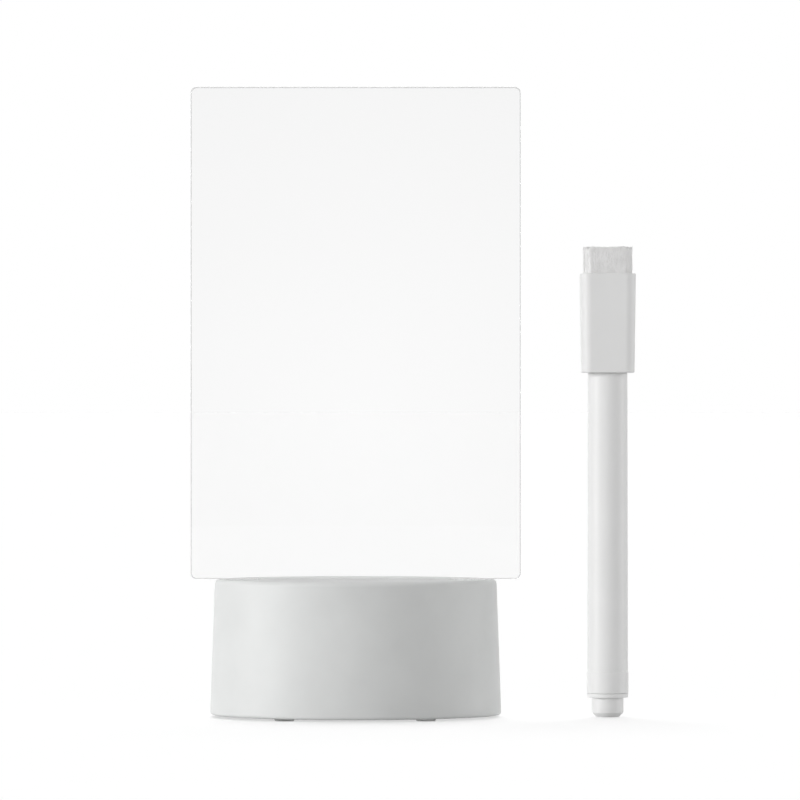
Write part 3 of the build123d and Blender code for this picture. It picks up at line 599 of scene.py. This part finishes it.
def make_socket():
    """The open walls under the slot that hold the plate's tab."""
    inside = rectangle(SLOT_LENGTH / 2, SLOT_DEPTH / 2)
    outside = rectangle(SLOT_LENGTH / 2 + SOCKET_WALL, SLOT_DEPTH / 2 + SOCKET_WALL)
    walls = [(inside, ROOT_TOP), (inside, SOCKET_FOOT), (outside, SOCKET_FOOT), (outside, ROOT_TOP)]
    socket = add("socket_walls", loft([level(outline, z) for outline, z in walls], closed=False))
    soften(socket)
    finish(socket, shell_white, "base")


def bored(radius, foot, bore, bore_top):
    """The profile of a round column under the roof, bored from below."""
    return [(0, bore_top), (bore, bore_top), (bore, foot), (radius, foot), (radius, ROOT_TOP)]


def make_columns(side):
    """The post, the screw boss and the rib on one side of the roof, cut free of the slot."""
    post = bored(POST_RADIUS, POST_FOOT, POST_BORE, POST_BORE_TOP)
    boss = bored(BOSS_RADIUS, BOSS_FOOT, BOSS_BORE, BOSS_BORE_TOP)
    middle = (side * RIB_X, 0, (ROOT_TOP + RIB_FOOT) / 2)
    columns = [
        add("post", turned(post, (side * POST_X, 0, 0), steps=POST_STEPS)),
        add("boss", turned(boss, (side * BOSS_X, 0, 0), steps=POST_STEPS)),
        add("rib", block((RIB_THICKNESS, RIB_LENGTH, ROOT_TOP - RIB_FOOT), middle)),
    ]
    for column in columns:
        cut(column, [block((SLOT_LENGTH, SLOT_DEPTH, SOCKET_CUT), (0, 0, SOCKET_FOOT + SOCKET_CUT / 2))])
    return columns


def make_switch_seat():
    """The flat seat behind the switch's pocket, with the knob's window."""
    depth = POCKET_Y - SEAT_GAP - SEAT_Y
    seat = add("seat", block((SEAT_WIDTH, depth, SEAT_HEIGHT), (0, SEAT_Y + depth / 2, SWITCH_Z)))
    cut(seat, [window_cutter()])
    return seat


def make_stake(x):
    """A square peg on the switch's seat, melted to a wider head over the switch's frame."""
    sections = (
        (STAKE_HALF, STAKE_ROOT),
        (STAKE_HALF, -STAKE_NECK),
        (STAKE_HEAD_HALF, -STAKE_NECK),
        (STAKE_TIP_HALF, -STAKE_LENGTH),
    )
    rings = []
    for half, reach in sections:
        outline = [p + Vector((x, 0)) for p in rectangle(half, half)]
        rings.append(upright(outline, SEAT_Y + reach, SWITCH_Z))
    return add("stake", loft(rings))


def make_shell_inside():
    """Everything that is moulded inside the shell, apart from the socket."""
    parts = make_columns(-1) + make_columns(1)
    parts.append(make_switch_seat())
    parts += [make_stake(x) for x in (-STAKE_X, STAKE_X)]
    for part in parts:
        soften(part, INSIDE_ROUND, segments=2)
    finish(join("shell_inside", parts), shell_white, "base")


def make_board():
    """The clear plate with its tab. The cut edges have a finish of their own."""
    half_width, half_tab, half_thickness = BOARD_WIDTH / 2, TAB_WIDTH / 2, BOARD_THICKNESS / 2
    right = [
        (0, BASE_TOP - TAB_DEPTH),
        (half_tab, BASE_TOP - TAB_DEPTH),
        (half_tab, BASE_TOP),
        (half_width, BASE_TOP),
        (half_width, BOARD_TOP),
        (0, BOARD_TOP),
    ]
    right = rounded(right, [TAB_CORNER, SHOULDER_CORNER, BOARD_CORNER, BOARD_CORNER], 8)
    outline = right[:-1] + [Vector((-p.x, p.y)) for p in right[:0:-1]]
    bm = loft([upright(outline, y) for y in (-half_thickness, half_thickness)])
    for face in bm.faces:
        face.material_index = 0 if abs(face.normal.y) > 0.5 else 1
    board = add("writing_board_clear", bm)
    board.data.materials.append(clear_face)
    board.data.materials.append(clear_edge_with_painted_shade)
    soften(board, BOARD_EDGE_ROUND, angle=60, material=1)
    finish(board, None, "board", ["writing_board"])


# Marker


def marker_piece(name, profile, radii, node, hollow=False, steps=MARKER_STEPS):
    """A turned piece on the marker's axis."""
    piece = add(name, turned(rounded(profile, radii, 4), (MARKER_X, 0, 0), steps=steps, hollow=hollow))
    soften(piece)
    material, slot = (nib_fibre, "marker_nib") if node == "marker_nib" else (marker_white, "marker_plastic")
    finish(piece, material, "marker", [node])


def make_marker():
    """The end plug, the barrel, the collar that holds the nib, and the nib."""
    plug = [
        (0, 0),
        (PLUG_FOOT_RADIUS, 0),
        (PLUG_RADIUS - PLUG_DRAFT, PLUG_BEVEL),
        (PLUG_RADIUS, PLUG_SHOULDER),
        (FLANGE_RADIUS, FLANGE_FOOT),
        (FLANGE_RADIUS, FLANGE_TOP),
        (STEM_RADIUS, FLANGE_TOP),
        (STEM_RADIUS, STEM_TOP),
        (0, STEM_TOP),
    ]
    marker_piece("marker_plug", plug, [0.2, 0.35, 0.12, 0.2, 0.1, 0, 0.2], "marker_end_plug")
    barrel = [
        (BAND_BORE, BAND_FOOT),
        (BAND_RADIUS, BAND_FOOT),
        (BAND_RADIUS, BAND_TOP),
        (BARREL_FOOT_RADIUS, BAND_TOP + BAND_STEP),
        (BARREL_TOP_RADIUS, BARREL_TOP),
        (NECK_RADIUS, BARREL_TOP),
        (NECK_RADIUS, NECK_TOP),
        (NECK_BORE, NECK_TOP),
        (NECK_BORE, BORE_TOP),
        (BARREL_BORE, BORE_TOP),
        (BARREL_BORE, BORE_FOOT),
    ]
    radii = [0.12, 0.12, 0.3, 0.25, 0.15, 0.3, 0.15, 0, 0]
    marker_piece("marker_tube", barrel, radii, "marker_barrel", hollow=True)
    collar = [
        (NIB_RADIUS, COLLAR_FOOT),
        (COLLAR_RADIUS, COLLAR_FOOT),
        (COLLAR_RADIUS, NECK_TOP),
        (NOSE_RADIUS, NOSE_FOOT),
        (NOSE_RADIUS, NOSE_TOP),
        (NOSE_BORE, NOSE_TOP),
    ]
    marker_piece("nib_collar", collar, [0, 0.1, 0.3, 0.35], "nib_holder", hollow=True, steps=COLLAR_STEPS)
    nib = [
        (0, NIB_FOOT),
        (NIB_RADIUS, NIB_FOOT),
        (NIB_RADIUS, NIB_TOP - NIB_SHOULDER),
        (NIB_CROWN_RADIUS, NIB_TOP - NIB_CROWN),
        (0, NIB_TOP),
    ]
    marker_piece("writing_tip", nib, [0.1, 0.8, 0.5], "marker_nib", steps=NIB_STEPS)


def at_marker(outline, z):
    """An outline about the marker's axis as a ring at a height."""
    return [(MARKER_X + p.x, p.y, z) for p in outline]


def square_ring(half, corner, z):
    """A square with round corners about the marker's axis."""
    return at_marker(rounded_rectangle(2 * half, 2 * half, corner, CAP_STEPS), z)


def round_ring(radius, z):
    """A circle whose points lie in the directions of a rounded square's."""
    square = rounded_rectangle(10, 10, 3, CAP_STEPS)
    return at_marker([radius * p.normalized() for p in square], z)


def make_cap():
    """A rounded square that widens upwards, bored for the nib and recessed for the eraser."""
    side = [
        (CAP_FOOT_FACE, CAP_FOOT),
        (CAP_FOOT_HALF, CAP_FOOT),
        (CAP_TOP_HALF, CAP_TOP),
        (CAP_TOP_FACE, CAP_TOP),
    ]
    seat = PAD_SIZE / 2 + PAD_ROOM
    rings = [round_ring(CAP_BORE, CAP_BORE_TOP), round_ring(CAP_BORE, CAP_FOOT + MOUTH_DEPTH)]
    rings.append(round_ring(CAP_BORE_MOUTH, CAP_FOOT))
    for half, z in rounded(side, [CAP_FOOT_ROUND, CAP_TOP_ROUND]):
        rings.append(square_ring(half, CAP_CORNER - (CAP_CORNER_HALF - half) * CAP_CORNER_GROWTH, z))
    rings.append(square_ring(seat + SEAT_CHAMFER, PAD_CORNER + SEAT_CORNER_GROWTH, CAP_TOP))
    rings.append(square_ring(seat, PAD_CORNER, CAP_TOP - SEAT_CHAMFER_DEPTH))
    rings.append(square_ring(seat, PAD_CORNER, CAP_TOP - PAD_DEPTH))
    cap = add("cap_shell", loft(rings))
    soften(cap)
    finish(cap, marker_white, "cap", ["marker_cap"])


# Eraser


def felt_wave(x, y):
    """The slow ups and downs of the eraser's worn top."""
    return 0.32 * noise.noise(Vector((x * 0.35, y * 0.3, 4.2)))


def make_felt_block():
    """A felt block with clipped corners, rough sides and an uneven top."""
    bm = bmesh.new()
    bmesh.ops.create_cube(bm, size=1.0)
    bmesh.ops.subdivide_edges(bm, edges=bm.edges, cuts=40, use_grid_fill=True)
    for vert in bm.verts:
        p = vert.co * 2
        reach = abs(p.x) + abs(p.y)
        corner = min(1.0, 0.86 + 0.14 * (2 - reach) * 4) if reach > 1.75 else 1.0
        rise = (p.z + 1) / 2
        x, y = p.x * FELT_HALF * corner, p.y * FELT_HALF * corner
        z = FELT_FOOT + rise * (FELT_TOP - FELT_FOOT)
        rough = noise.noise(Vector((x * 2.2, y * 2.2, z * 0.35)))
        fine = noise.noise(Vector((x * 7, y * 7, z * 0.8)) + Vector((9, 3, 1)))
        swell = 1 + 0.006 * rise + 0.014 * rough * rise + 0.008 * fine
        lift = felt_wave(x, y) + 0.14 * fine if p.z > 0.99 else 0
        vert.co = Vector((MARKER_X + x * swell, y * swell, z + lift))
    pad = add("felt_block", bm)
    soften(pad)
    finish(pad, felt, "cap", ["eraser_pad"])


def strand(bm, root, tip, width):
    """One flat fibre, wider at its root, with a bend in its middle."""
    across = (tip - root).cross(Vector((random.uniform(-1, 1), random.uniform(-1, 1), 0.2))).normalized()
    bend = Vector((random.uniform(-1, 1), random.uniform(-1, 1), 0)) * (tip - root).length * 0.12
    rows = []
    for t, share in ((0, 1.0), (0.5, 0.8), (1, 0.25)):
        middle = root.lerp(tip, t) + bend * math.sin(math.pi * t)
        rows.append([bm.verts.new(middle + across * width * share * side) for side in (-0.5, 0.5)])
    for (a, b), (c, d) in zip(rows, rows[1:]):
        bm.faces.new((a, b, d, c))


def make_felt_fibres():
    """Loose fibre ends that stand on the felt's top and are combed up its sides."""
    random.seed(11)
    bm = bmesh.new()
    for _ in range(FIBRES_ON_TOP):
        x, y = random.uniform(-FELT_HALF, FELT_HALF), random.uniform(-FELT_HALF, FELT_HALF)
        root = Vector((MARKER_X + x, y, FELT_TOP - 0.3))
        lean = Vector((random.gauss(0, 0.10), random.gauss(0, 0.10), 0))
        reach = 0.3 + 0.28 * random.random() + felt_wave(x, y)
        strand(bm, root, root + lean + Vector((0, 0, reach)), random.uniform(0.05, 0.12))
    for _ in range(FIBRES_ON_SIDES):
        side, along = random.choice((-1, 1)), random.uniform(-FELT_HALF, FELT_HALF)
        out, rise = FELT_HALF + random.uniform(0.0, 0.07), random.uniform(0.1, 6.4)
        x, y = (side * out, along) if random.random() < 0.5 else (along, side * out)
        if abs(x) + abs(y) > 2 * FELT_HALF - 0.5:
            continue
        root = Vector((MARKER_X + x, y, CAP_TOP + rise - 0.2))
        lean = Vector((x, y, 0)).normalized() * random.uniform(-0.02, 0.10)
        lean.x += random.gauss(0, 0.05)
        tip = root + lean + Vector((0, 0, random.uniform(0.5, 1.1)))
        strand(bm, root, tip, random.uniform(0.03, 0.07))
    pile = add("felt_fibres", bm)
    finish(pile, felt, "cap")


# Inside and underneath


def make_cell(number, row):
    """A dry cell. The outer ones point to the right and the middle one to the left."""
    direction = 1 if row else -1
    centre = Vector((0, row * CELL_PITCH, CELL_Z))
    profile = [
        (0, FOOT_DISH),
        (FOOT_DISH_RADIUS, FOOT_DISH),
        (FOOT_DISH_RADIUS + DISH_SLOPE, 0),
        (CELL_RADIUS, 0),
        (CELL_RADIUS, CELL_BODY),
        (TOP_DISH_RADIUS + DISH_SLOPE, CELL_BODY),
        (TOP_DISH_RADIUS, CELL_BODY - TOP_DISH),
        (CELL_BUTTON_RADIUS, CELL_BODY - TOP_DISH),
        (CELL_BUTTON_RADIUS, CELL_LENGTH),
        (0, CELL_LENGTH),
    ]
    profile = rounded(profile, [0, 0.1, 0.5, 0.6, 0.15, 0.1, 0.2, 0.35], 4)
    profile = [(radius, height + CELL_START) for radius, height in profile]
    bm = turned(profile, centre, "X" if direction > 0 else "-X", CELL_STEPS)
    for face in bm.faces:
        middle = face.calc_center_median() - centre
        face.material_index = 0 if math.hypot(middle.y, middle.z) > WRAP_RADIUS else 1
    cell = add(f"cell_{number}", bm)
    cell.data.materials.append(shrink_wrap(f"cell_wrap_{number}", direction))
    cell.data.materials.append(nickel)
    soften(cell)
    finish(cell, None, "base", [f"aaa_cell_{number}"])


def make_screw(x, seat_z, head_radius, head_height, shank_radius, length):
    """A pan-head screw driven upwards, with a cross recess."""
    foot = seat_z - head_height
    profile = [
        (0, foot),
        (head_radius, foot + HEAD_CROWN),
        (head_radius, seat_z),
        (shank_radius, seat_z),
        (shank_radius, seat_z + length),
        (0, seat_z + length),
    ]
    screw = add("screw", turned(rounded(profile, [0.45, 0, 0, 0.2]), (x, 0, 0)))
    bar = (CROSS_LENGTH * head_radius, CROSS_WIDTH * head_radius, head_height)
    bars = [block(bar, (x, 0, foot)) for _ in (0, 1)]
    quarter = Matrix.Rotation(math.pi / 2, 3, "Z")
    bmesh.ops.rotate(bars[1], cent=(x, 0, 0), matrix=quarter, verts=bars[1].verts)
    cut(screw, bars)
    soften(screw, SCREW_EDGE, segments=2)
    return screw


def make_screws(name, x, node, **sizes):
    """A pair of screws, one on each side."""
    pair = [make_screw(side * x, **sizes) for side in (-1, 1)]
    finish(join(name, pair), zinc, "base", [node])


def make_feet():
    """Four round feet stuck under the bottom plate."""
    profile = rounded([(0, 0), (FOOT_RADIUS, 0), (FOOT_RADIUS, FOOT_HEIGHT), (0, FOOT_HEIGHT)], [0.3, 0.05])
    places = [(x, y, 0) for y in (-FOOT_Y, FOOT_Y) for x in (-FOOT_X, FOOT_X)]
    for number, place in enumerate(places, start=1):
        foot = add(f"foot_{number}", turned(profile, place))
        soften(foot)
        finish(foot, foot_rubber, "base", [f"rubber_foot_{number}"])


# Fixed wiring inside: each lead's route, from one solder joint to the other
LEADS = {
    "lead_positive": [(27.1, 13.6, 12.95), (27.1, 13.6, 20.5), (2.5, 11.5, 24), (2.5, 17.3, 24)],
    "lead_switched": [(0, 17.3, 24), (0, 11.0, 24), (-6, 4.2, 25.5), (-6, 4.2, 20)],
    "lead_negative": [(-27.1, -13.6, 12.95), (-27.1, -13.6, 21), (-13, -4.2, 25.5), (-13, -4.2, 20)],
}


def make_lead(node, route):
    """An insulated wire along a smooth curve."""
    curve = bpy.data.curves.new(node + "_wire", "CURVE")
    curve.dimensions, curve.bevel_depth, curve.bevel_resolution = "3D", LEAD_RADIUS * MM, 4
    curve.use_fill_caps, curve.resolution_u = True, 16
    spline = curve.splines.new("NURBS")
    spline.points.add(len(route) - 1)
    for point, place in zip(spline.points, route):
        point.co = (*(Vector(place) * MM), 1)
    spline.order_u, spline.use_endpoint_u = 3, True
    wire = bpy.data.objects.new(node + "_wire", curve)
    bpy.context.scene.collection.objects.link(wire)
    material, slot = (wire_black, "lead_black") if node == "lead_negative" else (wire_red, "lead_red")
    finish(wire, material, "base", [node])


def make_solder(place):
    """An uneven drop of solder."""
    bm = bmesh.new()
    bmesh.ops.create_uvsphere(bm, u_segments=20, v_segments=12, radius=SOLDER_RADIUS)
    for vert in bm.verts:
        vert.co *= 1 + 0.12 * noise.noise(vert.co * 1.4 + Vector(place))
    bmesh.ops.translate(bm, vec=place, verts=bm.verts)
    return add("drop", bm)


def make_letters(word, centre_x):
    """A raised word on the rear wall, read from behind and stamped dark."""
    text = bpy.data.curves.new("text_" + word, "FONT")
    text.body, text.size, text.align_x, text.align_y = word, LETTER_SIZE, "CENTER", "CENTER"
    text.extrude, text.bevel_depth, text.resolution_u = LETTER_RELIEF, LETTER_EDGE, 4
    holder = bpy.data.objects.new("text_" + word, text)
    bpy.context.scene.collection.objects.link(holder)
    graph = bpy.context.evaluated_depsgraph_get()
    bm = bmesh.new()
    bm.from_mesh(bpy.data.meshes.new_from_object(holder.evaluated_get(graph)))
    bpy.data.objects.remove(holder)
    for vert in bm.verts:
        x, z = centre_x - vert.co.x, SWITCH_Z + vert.co.y
        wall = math.sqrt((SIDE_RADIUS - drafted(z)) ** 2 - x * x) - SIDE_CENTRE
        vert.co = Vector((x, wall + vert.co.z, z))
    bmesh.ops.recalc_face_normals(bm, faces=bm.faces)
    letters = add("letters_" + word, bm)
    soften(letters)
    finish(letters, switch_black, "base")


make_shell()
make_socket()
make_shell_inside()
make_board()
make_marker()
make_cap()
make_felt_block()
make_felt_fibres()
for cell_number, cell_row in enumerate((-1, 0, 1), start=1):
    make_cell(cell_number, cell_row)
make_screws(
    "plate_screws",
    BOSS_X,
    "housing_screws",
    seat_z=2.0,
    head_radius=2.1,
    head_height=1.1,
    shank_radius=1.07,
    length=8.5,
)
make_screws(
    "light_board_screws",
    POST_X,
    "led_board_screws",
    seat_z=18.8,
    head_radius=1.8,
    head_height=1.2,
    shank_radius=0.87,
    length=6.5,
)
make_feet()
for lead_name, lead_route in LEADS.items():
    make_lead(lead_name, lead_route)
drops = [make_solder(end) for lead_route in LEADS.values() for end in (lead_route[0], lead_route[-1])]
finish(join("solder_joints", drops), nickel, "base")
for letters_word, letters_x in LETTER_PLACES.items():
    make_letters(letters_word, letters_x)


# Stage, light and camera

# Half the side of the floor, and of the card behind the camera, in millimetres
FLOOR_HALF, CARD_HALF = 40000, 500

# From here on, places and distances are in metres
CAMERA = Vector((0.0114, -1.6, 0.0816))
FRAME_WIDTH = 0.2061
AMBIENT = 0.38
FLOOR_TONE, FLOOR_BOUNCE, FLOOR_GLOW = 0.732, 0.62, 0.40

# Side lamps: name, azimuth, elevation, the strength for what each group lights, and spread
SIDE_LAMPS = (
    ("key_left", -70, 10, {"desk": 1.8, "pen": 1.38, "floor": 1.8}, 20),
    ("fill_front", -15, 20, {"desk": 0.47, "pen": 0.55, "floor": 0.47}, 24),
    ("fill_right", 94, 10, {"desk": 0.67, "pen": 0.71, "floor": 0.77}, 20),
)
LIT_BODIES = {"desk": ("base", "board", "switch", "door"), "pen": ("marker", "cap")}

# The card's place, how far out its glow fades, and the glow in its middle and beyond
CARD_PLACE = (-0.0144, -2.4, 0.0656)
CARD_FADE, CARD_MIDDLE_GLOW, CARD_EDGE_GLOW = 0.235, 1.3, 0.05


def seen_by_camera(tree):
    """1 for rays that the camera sends, straight or by way of a mirror or clear plastic."""
    path = add_node(tree, "ShaderNodeLightPath").outputs
    total = path["Is Camera Ray"]
    for name in ("Is Glossy Ray", "Is Transmission Ray"):
        total = add_node(tree, "ShaderNodeMath", {0: total, 1: path[name]}, operation="MAXIMUM").outputs[0]
    return total


def light_world():
    """A white surround whose light on the object is softer than what the camera sees."""
    world = bpy.data.worlds.new("studio")
    bpy.context.scene.world = world
    world.use_nodes = True
    tree = world.node_tree
    background = tree.nodes["Background"]
    background.inputs["Color"].default_value = (1, 1, 1, 1)
    inputs = {"Value": seen_by_camera(tree), "To Min": AMBIENT, "To Max": 1.0}
    strength = add_node(tree, "ShaderNodeMapRange", inputs).outputs["Result"]
    tree.links.new(strength, background.inputs["Strength"])


def make_floor():
    """Pale paper that keeps the object's shadow. Seen from below, it lets the view through."""
    bm = bmesh.new()
    bmesh.ops.create_grid(bm, x_segments=1, y_segments=1, size=FLOOR_HALF)
    floor = add("floor", bm)
    paper = Surface("floor_paper", Roughness=0.9, Specular_IOR_Level=0.0, Emission_Color=(1, 1, 1, 1))
    seen = seen_by_camera(paper.tree)
    paper.feed("Base Color", paper.mapped(seen, FLOOR_BOUNCE, FLOOR_TONE))
    paper.feed("Emission Strength", paper.mapped(seen, 0.0, FLOOR_GLOW))
    below = paper.add("ShaderNodeNewGeometry").outputs["Backfacing"]
    paper.give_way(below, paper.add("ShaderNodeBsdfTransparent").outputs[0])
    floor.data.materials.append(paper.material)
    return floor


def lamp(name, azimuth, elevation, strength, spread):
    """A soft sun from an azimuth, 0 in front and 90 at the right, and an elevation."""
    light = bpy.data.lights.new(name, "SUN")
    light.energy, light.angle = strength, math.radians(spread)
    obj = bpy.data.objects.new(name, light)
    bpy.context.scene.collection.objects.link(obj)
    turn, rise = math.radians(azimuth), math.radians(elevation)
    towards = Vector((math.sin(turn) * math.cos(rise), -math.cos(turn) * math.cos(rise), math.sin(rise)))
    obj.rotation_euler = towards.to_track_quat("Z", "Y").to_euler()
    obj.location = towards
    return obj


def tied(name, objects):
    """Objects that a lamp is tied to, in a collection outside the scene."""
    group = bpy.data.collections.new(name)
    for obj in objects:
        group.objects.link(obj)
    return group


def make_side_lamps(floor):
    """The side lamps light the base, the marker and the floor apart, so none shades another."""
    groups = {}
    for key, bodies in LIT_BODIES.items():
        owners = [frame["bodies"][body] for body in bodies]
        groups[key] = tied("lit_" + key, [obj for obj in bpy.data.objects if obj.parent in owners])
    groups["floor"] = tied("lit_floor", [floor])
    for name, azimuth, elevation, strengths, spread in SIDE_LAMPS:
        for key, group in groups.items():
            light = lamp(f"{name}_{key}", azimuth, elevation, strengths[key], spread)
            light.light_linking.receiver_collection = group
            light.light_linking.blocker_collection = group


def make_card():
    """A card behind the camera that only mirrors see. Its glow fades outwards."""
    bm = bmesh.new()
    bmesh.ops.create_grid(bm, x_segments=1, y_segments=1, size=CARD_HALF)
    bmesh.ops.rotate(bm, cent=(0, 0, 0), matrix=Matrix.Rotation(math.radians(90), 3, "X"), verts=bm.verts)
    card = add("reflector_card", bm)
    card.location = CARD_PLACE
    silk = bpy.data.materials.new("card_silk")
    silk.use_nodes = True
    tree = silk.node_tree
    tree.nodes.remove(tree.nodes["Principled BSDF"])
    place = add_node(tree, "ShaderNodeTexCoord").outputs["Object"]
    distance = add_node(tree, "ShaderNodeVectorMath", {0: place}, operation="LENGTH").outputs["Value"]
    inputs = {"Value": distance, "From Max": CARD_FADE, "To Min": CARD_MIDDLE_GLOW, "To Max": CARD_EDGE_GLOW}
    fade = add_node(tree, "ShaderNodeMapRange", inputs).outputs["Result"]
    glow = add_node(tree, "ShaderNodeEmission", {"Strength": fade}).outputs[0]
    tree.links.new(glow, tree.nodes["Material Output"].inputs["Surface"])
    card.data.materials.append(silk)
    card.visible_camera = card.visible_diffuse = card.visible_transmission = card.visible_shadow = False


def place_camera():
    """A camera straight in front, far enough away for the photograph's flat view."""
    camera = bpy.data.cameras.new("camera")
    camera.sensor_width = 36.0
    camera.lens = camera.sensor_width * abs(CAMERA.y) / FRAME_WIDTH
    camera.clip_start, camera.clip_end = 0.05, 100.0
    viewer = bpy.data.objects.new("camera", camera)
    viewer.location = CAMERA
    viewer.rotation_euler = (math.radians(90), 0, 0)
    bpy.context.scene.collection.objects.link(viewer)
    bpy.context.scene.camera = viewer


light_world()
make_side_lamps(make_floor())
lamp("top_rear", 180, 65, 0.87, 30)
make_card()
place_camera()
bpy.context.scene.view_settings.view_transform = "Standard"
